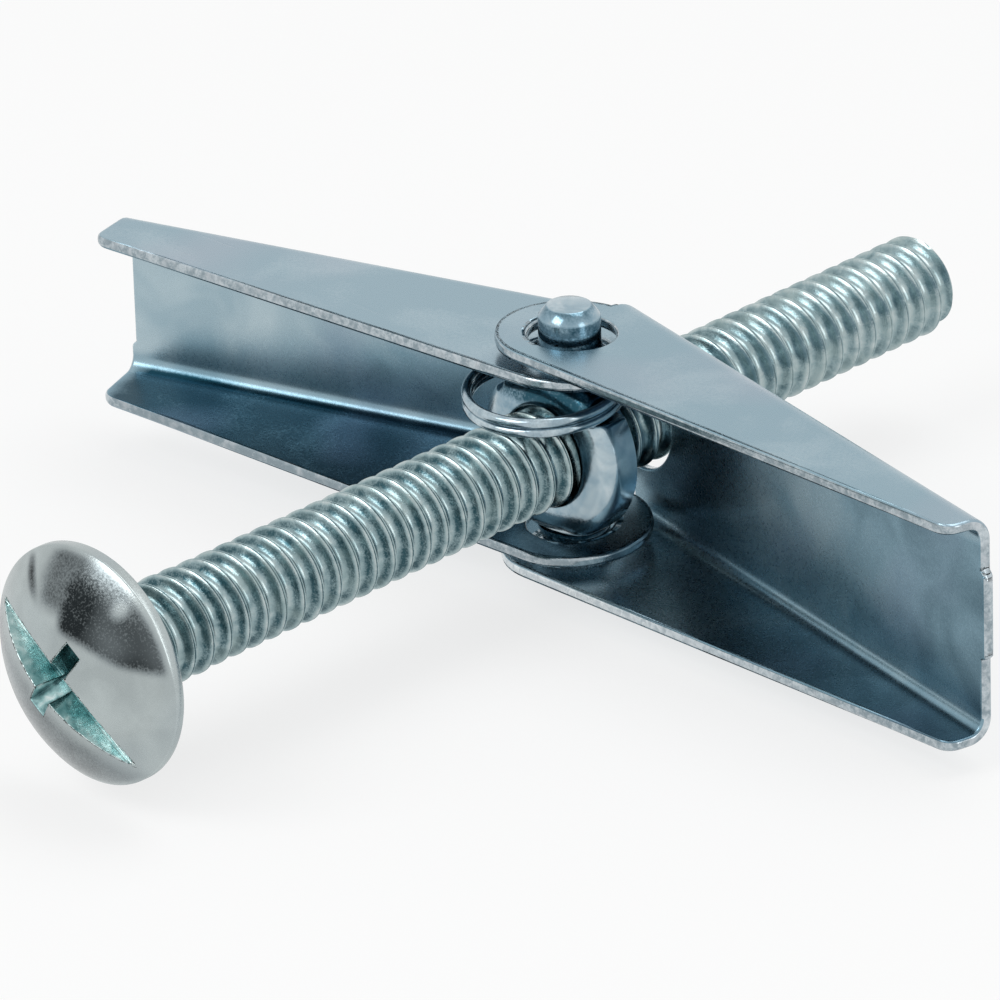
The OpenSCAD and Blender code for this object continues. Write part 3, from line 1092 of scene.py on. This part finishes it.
@dataclass
class FoldedWing:
    """A wing pressed from strip: a web, two folds, and two flanges with round hinge eyes.

    In the wing's own frame x runs along the wing from the hinge axis, y from the hinge axis to
    the web's outer face, and z along the pins. The mesh is the middle of the sheet.

    Attributes:
        name, body: the object's name, and the body that it rides.
        side: which way it points.
        hinge_y: place of the hinge axis along the bolt.
        slope: how far its far end leans back towards the head, in degrees.
        length, height: where the far edge lies along x, and the wing's height over the folds.
        web_y: the web's outer face along y.
        flare: how far the flanges lean outwards, in degrees.
        end_w, eye_r: width of a flange's far end, and radius of its eye.
        web_start: where the web's near edge lies along x.
        web_lead, eye_lead: the angles on the hinge hole that the two ends of a flange's near
            edge face, at the fold and at the eye.
        end_step, step_z: depth of the step in the far edge, and the heights that it spans.
        step_ramp: half the height over which the step starts or ends.
        painted_shade_web, painted_shade_top, painted_shade_lower: the channel's painted shade and
        reflection over x, as
            the film method says.
        painted_shade_upper, painted_shade_fold: its painted shade on the upper flange and on the
            folds.
        notch: x, z and radius of the web's notch round the bolt, or None.
        notch_fan: angle on the notch that faces the far edge's ends, in degrees.
        sheet, fold_r: thickness of the sheet, and outer radius of the folds.
        hole_r, hole_shift: radius of the hinge hole, and its shift along x.
        corner_r, start_r: radii of a flange's far corner and of the web's near one.
        edge: width of the rounding along the sheared edges.
        fold_steps, web_rows: quads round a fold, and up the web.
        columns: shares of the length at which the grids have points.
    """

    name: str
    body: str
    side: Side
    hinge_y: float
    slope: float
    length: float
    web_y: float
    height: float
    flare: float
    end_w: float
    eye_r: float
    web_start: float
    web_lead: float
    eye_lead: float
    end_step: float
    step_z: Plane
    painted_shade_web: Curve
    painted_shade_top: Curve
    painted_shade_lower: Curve
    notch: Place | None = None
    sheet: float = 0.5
    fold_r: float = 1.1
    hole_r: float = 1.9
    hole_shift: float = 0.2
    corner_r: float = 0.7
    start_r: float = 0.55
    step_ramp: float = 0.07
    painted_shade_upper: float = 0.6
    painted_shade_fold: float = 0.3
    notch_fan: float = 24.0
    edge: float = 0.17
    fold_steps: int = 9
    web_rows: int = 30
    columns: np.ndarray = field(
        default_factory=lambda: np.array(
            [0, 0.012, 0.028, 0.07, 0.15, 0.27, 0.4, 0.53, 0.66, 0.78, 0.88, 0.95, 0.978, 0.99, 1]
        )
    )

    def __post_init__(self) -> None:
        """Works out the sizes of the sheet's middle."""
        self.mid_r = self.fold_r - self.sheet / 2
        self.web_z = self.height / 2 - self.fold_r
        lean = math.radians(self.flare)
        self.fold_y = self.web_y - self.fold_r + self.mid_r * math.sin(lean)

    def film(self, points: np.ndarray) -> np.ndarray:
        """How dark the channel's painted shade and reflection are.

        On the web it is painted_shade_web at x, below a soft edge at height painted_shade_top at
        x. On the lower flange it is painted_shade_lower at x, on the upper one
        painted_shade_upper, and on the folds painted_shade_fold.

        Args:
            points: (rows, columns, 3) in the wing's frame.

        Returns:
            (rows, columns) from 0 to 1.
        """
        x, _, z = np.moveaxis(points, -1, 0)
        dark = along_curve(x, self.painted_shade_web)
        web = dark * smooth_step(along_curve(x, self.painted_shade_top) - z, -1.1, 0.9)
        flange = np.where(z < 0, along_curve(x, self.painted_shade_lower), self.painted_shade_upper)
        rise = np.abs(z) - self.web_z
        folded, beyond = smooth_step(rise, -0.35, 0.1), smooth_step(rise, 0.35, 0.8)
        return (1 - folded) * web + folded * ((1 - beyond) * self.painted_shade_fold + beyond * flange)

    def flange_z(self, y: np.ndarray) -> np.ndarray:
        """Height of the leaning flange: its fold's height, plus tan(flare) for each unit ahead.

        Args:
            y: places along y.

        Returns:
            The height at each of them.
        """
        lean = math.radians(self.flare)
        ahead = self.web_y - self.fold_r - y
        return self.web_z + self.mid_r / math.cos(lean) + math.tan(lean) * ahead

    def start_x(self, y: np.ndarray) -> np.ndarray:
        """Where the sheet begins at height y: upright, then round a quarter arc to the back."""
        over = np.maximum(y - (self.web_y - self.start_r), 0)
        return self.web_start + self.start_r - np.sqrt(np.maximum(self.start_r**2 - over**2, 0))

    def far_edge(self, z: np.ndarray) -> np.ndarray:
        """The web's far edge: straight, with a shallow step over part of it.

        Args:
            z: heights along the edge.

        Returns:
            (points, 2) of x and z.
        """
        ramp = self.step_ramp
        step = smooth_step(z, self.step_z[0] - ramp, self.step_z[0] + ramp)
        step = step * smooth_step(-z, -self.step_z[1] - ramp, -self.step_z[1] + ramp)
        return np.stack([self.length + self.end_step * step, z], -1)

    def web_plan(self) -> np.ndarray:
        """The flat web in plan, as straight lines across it.

        Without a notch they run from the near edge to the far edge. With one they run from the
        notch's arc out to the folds and the far edge.

        Returns:
            (rows, columns, 2) of x and z.
        """
        near_x = float(self.start_x(np.array(self.web_y - self.sheet / 2)))
        steps = [z + way * self.step_ramp for z in self.step_z for way in (-1, 1)]
        steps = [z for z in steps if abs(z) < self.web_z]
        levels = np.linspace(-self.web_z, self.web_z, self.web_rows + 1)
        far = self.far_edge(np.unique(np.concatenate([levels, steps])))
        if self.notch is None:
            near = np.stack([np.full(len(far), near_x), far[:, 1]], -1)
            share = self.columns[None, :, None]
            return (1 - share) * near[:, None] + share * far[:, None]
        x, z, radius = self.notch
        lip = math.degrees(math.acos((near_x - x) / radius))
        along = near_x + (self.length - near_x) * self.columns
        lower = np.stack([along, np.full_like(along, -self.web_z)], -1)
        outer = np.vstack([lower, far[1:-1], lower[::-1] * (1, -1)])
        last = len(along) - 1
        keys = [0, last, len(outer) - 1 - last, len(outer) - 1]
        turns = [-lip, -self.notch_fan, self.notch_fan, lip]
        inner = (x, z) + radius * unit(np.interp(np.arange(len(outer)), keys, turns))
        share = np.array([0, 0.12, 0.3, 0.55, 0.8, 1])[:, None, None]
        return (1 - share) * inner + share * outer

    def web(self) -> Patch:
        """The flat web, half a sheet inside its outer face.

        Returns:
            The patch.
        """
        plan = self.web_plan()
        depth = np.full(plan.shape[:2], self.web_y - self.sheet / 2)
        return Patch(np.stack([plan[..., 0], depth, plan[..., 1]], -1))

    def fold(self, way: int) -> Patch:
        """A fold: an arc of the sheet's middle radius, carried along the wing to its far edge.

        Args:
            way: 1 for the upper fold, -1 for the lower.

        Returns:
            The patch, from the web to the flange.
        """
        centre = (self.web_y - self.fold_r, self.web_z)
        bend = arc(centre, self.mid_r, 0, 90 - self.flare, self.fold_steps)
        y, z = bend[:, :1], bend[:, 1:]
        start = self.start_x(y)
        stop = self.far_edge(way * z[:, 0])[:, :1]
        x = start + (stop - start) * self.columns
        return Patch(np.stack([x, y + 0 * x, way * z + 0 * x], -1))

    def flange_outline(self) -> tuple[np.ndarray, np.ndarray]:
        """The flange's outline in plan, with the angle on the hinge hole that each point faces.

        It runs outwards along the fold, down the end, round the corner, back along the free
        edge to the eye, round the eye, and up the web's near edge.

        Returns:
            (points, 2) of x and y, and (points,) of angles in degrees, falling all the way.
        """
        corner = np.array([self.length, self.web_y - self.end_w])
        far = float(np.linalg.norm(corner))
        tilt = math.atan2(corner[1], corner[0]) + math.asin(self.eye_r / far)
        along = np.array([math.cos(tilt), math.sin(tilt)])
        square = np.array([-math.sin(tilt), math.cos(tilt)])
        back = self.corner_r * math.tan((math.pi / 2 - tilt) / 2)
        centre = corner - back * along + self.corner_r * square
        start = math.degrees(tilt) - 90
        stop = math.degrees(math.acos(self.web_start / self.eye_r)) - 360
        eye = arc((0, 0), self.eye_r, start, stop, 34)
        x = self.web_start + (self.length - self.web_start) * self.columns
        parts = [
            np.stack([x, np.full_like(x, self.fold_y)], -1),
            line((self.length, self.fold_y), (self.length, centre[1]), 4)[1:],
            arc(tuple(centre), self.corner_r, 0, start, 6)[1:],
            line(tuple(centre - self.corner_r * square), tuple(eye[0]), 12)[1:],
            eye[1:],
            line(tuple(eye[-1]), (self.web_start, self.fold_y), 5)[1:],
        ]
        turns = [self.web_lead, 12, 2, -6, start, self.eye_lead - 360, self.web_lead - 360]
        keys = np.cumsum([0] + [len(p) for p in parts]) - 1
        keys[0] = 0
        outline = np.vstack(parts)
        return outline, np.interp(np.arange(len(outline)), keys, turns)

    def flange(self, way: int) -> Patch:
        """A flange: straight lines from the hinge hole's wall to the outline.

        Args:
            way: 1 for the upper flange, -1 for the lower.

        Returns:
            The patch.
        """
        outline, turn = self.flange_outline()
        hole = self.hole_r * unit(turn) + (self.hole_shift, 0)
        share = np.array([0, 0.1, 0.25, 0.5, 0.78, 0.93, 0.97, 1])[:, None, None]
        plan = (1 - share) * hole[None] + share * outline[None]
        z = way * self.flange_z(plan[..., 1])
        return Patch(np.concatenate([plan, z[..., None]], -1))

    def placed(self, patch: Patch) -> Patch:
        """Turns a patch by the wing's slope about the hinge axis, mirrored on the inner side.

        Args:
            patch: the patch, in the wing's frame.

        Returns:
            A new patch, in the object's frame.
        """
        angle = math.radians(self.slope)
        x, y, z = np.moveaxis(patch.points, -1, 0)
        across = self.side.value * (x * math.cos(angle) + y * math.sin(angle))
        along = self.hinge_y - x * math.sin(angle) + y * math.cos(angle)
        return Patch(np.stack([across, along, z], -1), patch.wrap, patch.slot, patch.film)

    def build(self) -> bpy.types.Object:
        """Builds the wing, gives the sheet its thickness and rounded edges, and dresses it.

        Returns:
            The wing.
        """
        patches = [self.web(), self.fold(1), self.fold(-1), self.flange(1), self.flange(-1)]
        for patch in patches:
            patch.film = self.film(patch.points)
        angle = math.radians(self.slope)
        outward = (self.side.value * math.sin(angle), math.cos(angle), 0.0)
        placed = [self.placed(p) for p in patches]
        piece = Piece(self.name, placed, outward=outward, crease=60).build()
        wall = piece.modifiers.new("sheet", "SOLIDIFY")
        wall.thickness = self.sheet * MM
        wall.offset = 0
        wall.use_even_offset = True
        wall.use_quality_normals = True
        wall.material_offset = Skin.CHANNEL.value
        wall.material_offset_rim = Skin.SHEARED.value
        bevel(piece, width=self.edge, segments=3, angle=50)
        dress(piece, SHEET_OUTSIDE, SHEET_CHANNEL_SHADE, SHEARED_EDGE_SHEEN)
        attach(piece, self.body)
        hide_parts(self.body)
        return piece


# ---------------------------------------------------------------- spring


@dataclass
class TorsionSpring:
    """The spring: a leg from one web, close turns round the upper pin, a leg to the other.

    Attributes:
        hinge_y: place of the hinge axis along the bolt.
        inner, outer: the wings that its legs press on.
        wire_r, coil_r: radius of the wire, and of the coil to the wire's middle.
        coil_y, coil_z: the lower turn's middle, from the hinge's centre.
        pitch, climb: height of the upper turn over the lower, and how far back from X the wire
            starts and ends to climb it, in degrees.
        tilt: how far the coil leans forward, in degrees.
        reach, gap: how far along its wing a leg goes, and how far it stays off the web.
        first, last: the coil's first and last angles, in degrees.
        leave, lie: how straight a leg leaves the coil, and how straight it comes to its wing.
        sides: points round the wire.
        coil_points, leg_points: points along the coil and along a leg.
    """

    hinge_y: float
    inner: FoldedWing
    outer: FoldedWing
    wire_r: float = 0.225
    coil_r: float = 3.3
    coil_y: float = -1.647
    coil_z: float = 2.72
    pitch: float = 0.45
    climb: Plane = (180.0, 360.0)
    tilt: float = 4.0
    reach: float = 6.5
    gap: float = 0.04
    first: float = 35.0
    last: float = -575.0
    leave: float = 2.2
    lie: float = 3.0
    sides: int = 14
    coil_points: int = 170
    leg_points: int = 41

    def foot(self, wing: FoldedWing) -> np.ndarray:
        """Where a leg meets its wing, just inside the web.

        Args:
            wing: the wing.

        Returns:
            x and y, measured from the hinge's centre.
        """
        inside = wing.web_y - wing.sheet - self.wire_r - self.gap
        angle = math.radians(wing.slope)
        x = self.reach * math.cos(angle) + inside * math.sin(angle)
        y = -self.reach * math.sin(angle) + inside * math.cos(angle)
        return np.array([wing.side.value * x, y])

    def coil(self, angle: np.ndarray, level: np.ndarray) -> np.ndarray:
        """Points of the coil: a circle, raised by level, leaning forward by the tilt.

        Args:
            angle: angles round the coil, in degrees.
            level: height above the lower turn, in millimetres.

        Returns:
            (points, 3), measured from the hinge's centre.
        """
        turn, lean = np.radians(angle), math.radians(self.tilt)
        x, y = self.coil_r * np.cos(turn), self.coil_r * np.sin(turn)
        depth = self.coil_y + y * math.cos(lean) - level * math.sin(lean)
        height = self.coil_z + y * math.sin(lean) + level * math.cos(lean)
        return np.stack([x, depth, height], -1)

    def wire(self, name: str, path: np.ndarray) -> bpy.types.Object:
        """Makes a length of round wire with closed ends, and dresses it.

        Args:
            name: the object's name.
            path: the wire's middle, measured from the hinge's centre.

        Returns:
            The wire.
        """
        points = tube(path + (0, self.hinge_y, 0), self.wire_r, self.sides)
        made = Piece(name, [Patch(capped(points), wrap=True)]).build()
        dress(made, SPRING_WIRE)
        return made

    def leg(self, wing: FoldedWing, root: np.ndarray, along: np.ndarray) -> np.ndarray:
        """A leg's path: it leaves the coil along its wire and bends to the wing's foot.

        At share t it is the cubic (2t^3 - 3t^2 + 1) root + (t^3 - 2t^2 + t) start slope
        + (3t^2 - 2t^3) foot + (t^3 - t^2) end slope. The foot is as high as the root, or just
        under the wing's fold if that is lower.

        Args:
            wing: the wing it presses on.
            root: its first point, on the coil.
            along: the wire's direction there.

        Returns:
            (points, 3), measured from the hinge's centre.
        """
        foot = self.foot(wing)
        end = np.array([foot[0], foot[1], min(root[2], wing.web_z - self.wire_r)])
        slope = math.radians(wing.slope)
        lay = np.array([wing.side.value * math.cos(slope), -math.sin(slope), 0.0])
        t = np.linspace(0, 1, self.leg_points)[:, None]
        start = (2 * t**3 - 3 * t**2 + 1) * root + (t**3 - 2 * t**2 + t) * self.leave * along
        return start + (3 * t**2 - 2 * t**3) * end + (t**3 - t**2) * self.lie * lay

    def build(self) -> None:
        """Builds the coil on the nut, and both legs, which bend from the nut to their wings."""
        angle = np.linspace(self.first, self.last, self.coil_points)
        level = self.pitch * smooth_step(-angle, *self.climb)
        path = self.coil(angle, level)
        coil = self.wire("spring_coil", path)
        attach(coil, "nut")
        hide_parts("spring")
        for wing, root, before in (
            (self.outer, path[0], path[1]),
            (self.inner, path[-1], path[-2]),
        ):
            along = (root - before) / np.linalg.norm(root - before)
            reach = self.leg(wing, root, along)
            leg = self.wire(f"spring_leg_{wing.side.name.lower()}", reach)
            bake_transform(leg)


# ---------------------------------------------------------------- studio


@dataclass
class Studio:
    """The pale floor, the soft lamps, the white surroundings and the camera.

    Attributes:
        floor_z, floor_reach: height of the floor, and half its width.
        lift: how much of the white surroundings the floor shows of itself, 0 to 1.
        ambient: strength of the light from the surroundings.
        lamp_aim: the place that the lamps face.
        lens, camera_at: the camera's focal length and its place, in millimetres.
        azimuth, elevation, roll: its bearing, height and roll, in degrees.
    """

    floor_z: float = -6.5
    floor_reach: float = 2000.0
    lift: float = 0.72
    ambient: float = 0.55
    lamp_aim: Place = (0, 20, 0)
    lens: float = 364.0
    camera_at: Place = (275.9, -249.4, 183.7)
    azimuth: float = -45.31
    elevation: float = 25.47
    roll: float = -1.75

    def backdrop_share(self, tree: bpy.types.NodeTree) -> bpy.types.NodeSocket:
        """Which rays see the surroundings themselves.

        Args:
            tree: the nodes of the world or of a material.

        Returns:
            1 for rays that see them, straight or in metal and glass, and 0 for the others.
        """
        rays = add_node(tree, "ShaderNodeLightPath").node.outputs
        pair = (rays["Is Camera Ray"], rays["Is Glossy Ray"])
        seen = add_node(tree, "ShaderNodeMath", pair, operation="ADD")
        pair = (seen, rays["Is Transmission Ray"])
        return add_node(tree, "ShaderNodeMath", pair, operation="ADD", use_clamp=True)

    def world(self) -> None:
        """White surroundings that light the object at a plain level."""
        world = bpy.data.worlds.new("studio")
        bpy.context.scene.world = world
        tree = fresh_tree(world)
        share = self.backdrop_share(tree)
        light = add_node(tree, "ShaderNodeBackground", (colour(WHITE), self.ambient))
        white = add_node(tree, "ShaderNodeBackground", (colour(WHITE), 1.0))
        mixed = add_node(tree, "ShaderNodeMixShader", (share, light, white))
        add_node(tree, "ShaderNodeOutputWorld", {"Surface": mixed})

    def floor(self) -> None:
        """A plain pale floor that keeps the object's shadow."""
        reach = self.floor_reach
        corners = np.array([[-reach, -reach], [reach, -reach], [-reach, reach], [reach, reach]])
        grid = np.concatenate([corners, np.full((4, 1), self.floor_z)], -1).reshape(2, 2, 3)
        piece = Piece("studio_floor", [Patch(grid)], outward=(0, 0, 1)).build()
        material = bpy.data.materials.new("matt_white_board")
        tree = fresh_tree(material)
        board = add_node(tree, "ShaderNodeBsdfDiffuse", (colour("#f7f8f8"),))
        white = add_node(tree, "ShaderNodeEmission", (colour(WHITE), 1.0))
        terms = (self.backdrop_share(tree), self.lift)
        share = add_node(tree, "ShaderNodeMath", terms, operation="MULTIPLY")
        both = add_node(tree, "ShaderNodeMixShader", (share, board, white))
        add_node(tree, "ShaderNodeOutputMaterial", {"Surface": both})
        piece.data.materials.append(material)
        piece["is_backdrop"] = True

    def lamp(self, name: str, place: Place, size: Plane, watts: float) -> None:
        """Hangs a soft rectangular lamp.

        Args:
            name: the lamp's name.
            place: its centre, in millimetres.
            size: its two sides, in millimetres.
            watts: its power.
        """
        data = bpy.data.lights.new(name, "AREA")
        data.shape = "RECTANGLE"
        data.size, data.size_y = size[0] * MM, size[1] * MM
        data.energy = watts
        lamp = bpy.data.objects.new(name, data)
        turn = (Vector(self.lamp_aim) - Vector(place)).to_track_quat("-Z", "Y")
        lamp.matrix_world = Matrix.Translation(Vector(place) * MM) @ turn.to_matrix().to_4x4()
        bpy.context.scene.collection.objects.link(lamp)

    def camera(self) -> None:
        """Sets the camera from its bearing, height and roll.

        Its forward direction is (sin a cos e, cos a cos e, -sin e), its right is
        (cos a, -sin a, 0) turned by the roll.
        """
        a, e, roll = (math.radians(v) for v in (self.azimuth, self.elevation, self.roll))
        ahead = Vector((math.sin(a) * math.cos(e), math.cos(a) * math.cos(e), -math.sin(e)))
        right = Vector((math.cos(a), -math.sin(a), 0))
        up = right.cross(ahead)
        right, up = (
            math.cos(roll) * right + math.sin(roll) * up,
            math.cos(roll) * up - math.sin(roll) * right,
        )
        data = bpy.data.cameras.new("camera")
        data.lens = self.lens
        data.sensor_width = 36.0
        data.clip_start, data.clip_end = 0.01, 20.0
        camera = bpy.data.objects.new("camera", data)
        turn = Matrix((right, up, -ahead)).transposed()
        camera.matrix_world = Matrix.Translation(Vector(self.camera_at) * MM) @ turn.to_4x4()
        bpy.context.scene.collection.objects.link(camera)
        bpy.context.scene.camera = camera

    def build(self) -> None:
        """Builds the studio."""
        self.world()
        self.floor()
        self.lamp("soft_key", (-60, -230, 260), (200, 160), 0.34)
        self.lamp("soft_top", (40, 120, 330), (260, 200), 0.3)
        self.lamp("soft_side", (330, 40, 120), (120, 200), 0.12)
        self.camera()
        bpy.context.scene.view_settings.view_transform = "Standard"


def corners() -> list[list[float]]:
    """The lowest and the highest corner of everything that is part of the object now."""
    return [[float(value) for value in corner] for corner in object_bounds()]


def main() -> None:
    """Builds the toggle bolt and its studio, piece by piece."""
    logging.basicConfig(level=logging.INFO, format="%(name)s: %(message)s")
    hinge = next(j for j in frame["joints"] if j["name"] == "inner_wing_hinge")
    hinge_y = hinge["pos_m"][1] / MM
    Studio().build()
    LOG.info("studio")
    bolt = Bolt()
    LOG.info("shank with %d faces", len(bolt.shank().data.polygons))
    LOG.info("head with %d faces", len(bolt.head().data.polygons))
    TrunnionNut(hinge_y=hinge_y).build()
    LOG.info("nut")
    inner = FoldedWing(
        name="wing_inner_sheet",
        body="wing_inner",
        side=Side.INNER,
        hinge_y=hinge_y,
        slope=16.9,
        length=24.9,
        web_y=5.949,
        height=7.896,
        flare=3.2,
        end_w=3.3,
        eye_r=3.4,
        web_start=1.302,
        web_lead=30.0,
        eye_lead=52.0,
        end_step=-0.2,
        step_z=(-2.3, 3.4),
        # Painted shade and reflection in the channel, along the wing.
        painted_shade_web=((0, 0.24), (4, 0.36), (8, 0.4), (18, 0.35), (22.2, 0.3), (23.2, 0.0)),
        painted_shade_top=((0, 3.5), (6, 1.6), (14, -0.4), (22, -1.5)),
        painted_shade_lower=((0, 0.7), (10, 0.85), (24.0, 1.0), (24.6, 0.3)),
    )
    outer = FoldedWing(
        name="wing_outer_sheet",
        body="wing_outer",
        side=Side.OUTER,
        hinge_y=hinge_y,
        slope=13.1,
        length=25.2,
        web_y=4.27,
        height=10.349,
        flare=1.2,
        end_w=2.15,
        eye_r=3.2,
        web_start=-1.25,
        web_lead=112.0,
        eye_lead=116.0,
        end_step=0.2,
        step_z=(-1.3, 2.6),
        # Painted shade and reflection in the channel, along the wing.
        painted_shade_web=((1, 0.4), (4, 0.34), (9, 0.2), (15, 0.34), (25, 0.56)),
        painted_shade_top=((0, 9.0), (25, 9.0)),
        painted_shade_lower=((0, 0.0), (5, 0.03), (9, 0.28), (18, 0.5), (25, 0.6)),
        notch=(-0.797, 0.2, 2.65),
    )
    for wing in (inner, outer):
        LOG.info("%s with %d faces", wing.name, len(wing.build().data.polygons))
    TorsionSpring(hinge_y=hinge_y, inner=inner, outer=outer).build()
    LOG.info("spring")


if __name__ == "__main__":
    main()
